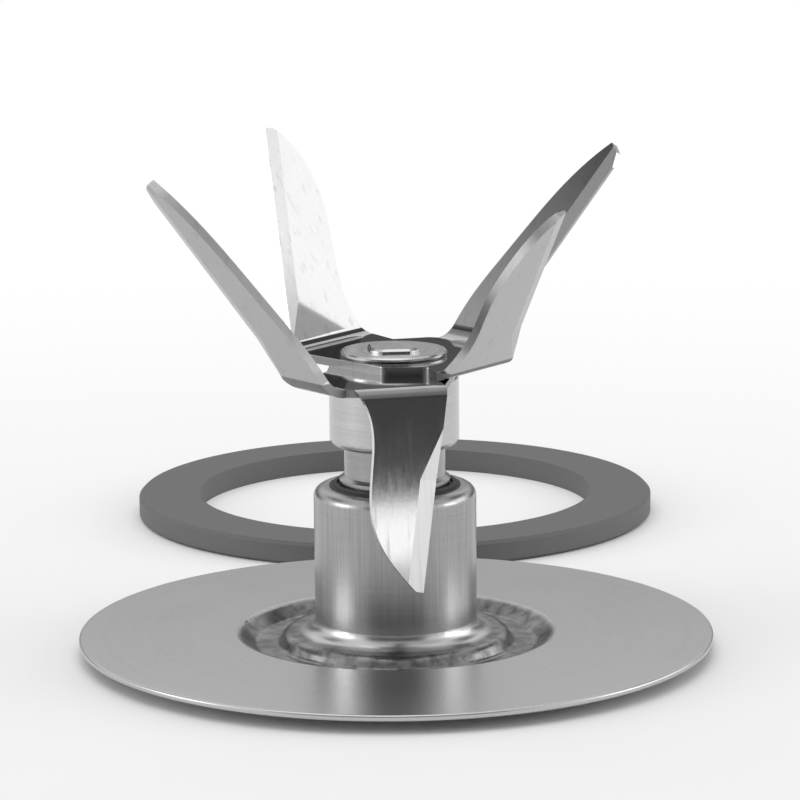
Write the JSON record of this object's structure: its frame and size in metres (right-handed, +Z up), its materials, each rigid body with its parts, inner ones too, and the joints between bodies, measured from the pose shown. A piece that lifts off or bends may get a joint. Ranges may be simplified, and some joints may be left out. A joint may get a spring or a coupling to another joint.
{
  "type": "blender blade assembly",
  "caption": "Round steel base disc with a drawn bearing hub; a spindle turns in it and carries bent, sharpened blades above. A loose flat rubber sealing ring lies beside it.",
  "frame": {"origin": "where the spindle's axis meets the surface that the unit stands on", "axes": "+Z up along the spindle, -Y towards the side that the picture shows, +Y towards the loose ring"},
  "size_m": [0.063, 0.1245, 0.0505],
  "materials": {
    "disc_steel": "satin pressed sheet, fine circular brushing",
    "turned_steel": "turned, fine rings",
    "blade_steel": "bright rolled sheet, ground edges",
    "bush_bronze": "sintered, oiled",
    "seal_rubber": "matte moulded",
    "ring_rubber": "matte moulded",
    "felt": "pressed felt",
    "washer_plastic": "plain moulded"
  },
  "bodies": {
    "base": {"base_plate": "disc_steel", "bearing_carrier": "turned_steel", "hub_seal": "seal_rubber", "lower_bushing": "bush_bronze", "oil_felt": "felt", "upper_bushing": "bush_bronze", "shaft_seal": "seal_rubber", "sealing_ring": "ring_rubber"},
    "rotor": {"shaft": "turned_steel", "drive_socket": "turned_steel", "thrust_washer": "washer_plastic", "slinger_washer": "washer_plastic", "blade_collar": "turned_steel", "lower_blade": "blade_steel", "upper_blade": "blade_steel", "top_washer": "turned_steel"}
  },
  "joints": [
    {"name": "rotor_spin", "type": "hinge", "parent": "base", "child": "rotor", "pos_m": [0, 0, 0.02], "axis": [0, 0, 1], "continuous": true}
  ]
}
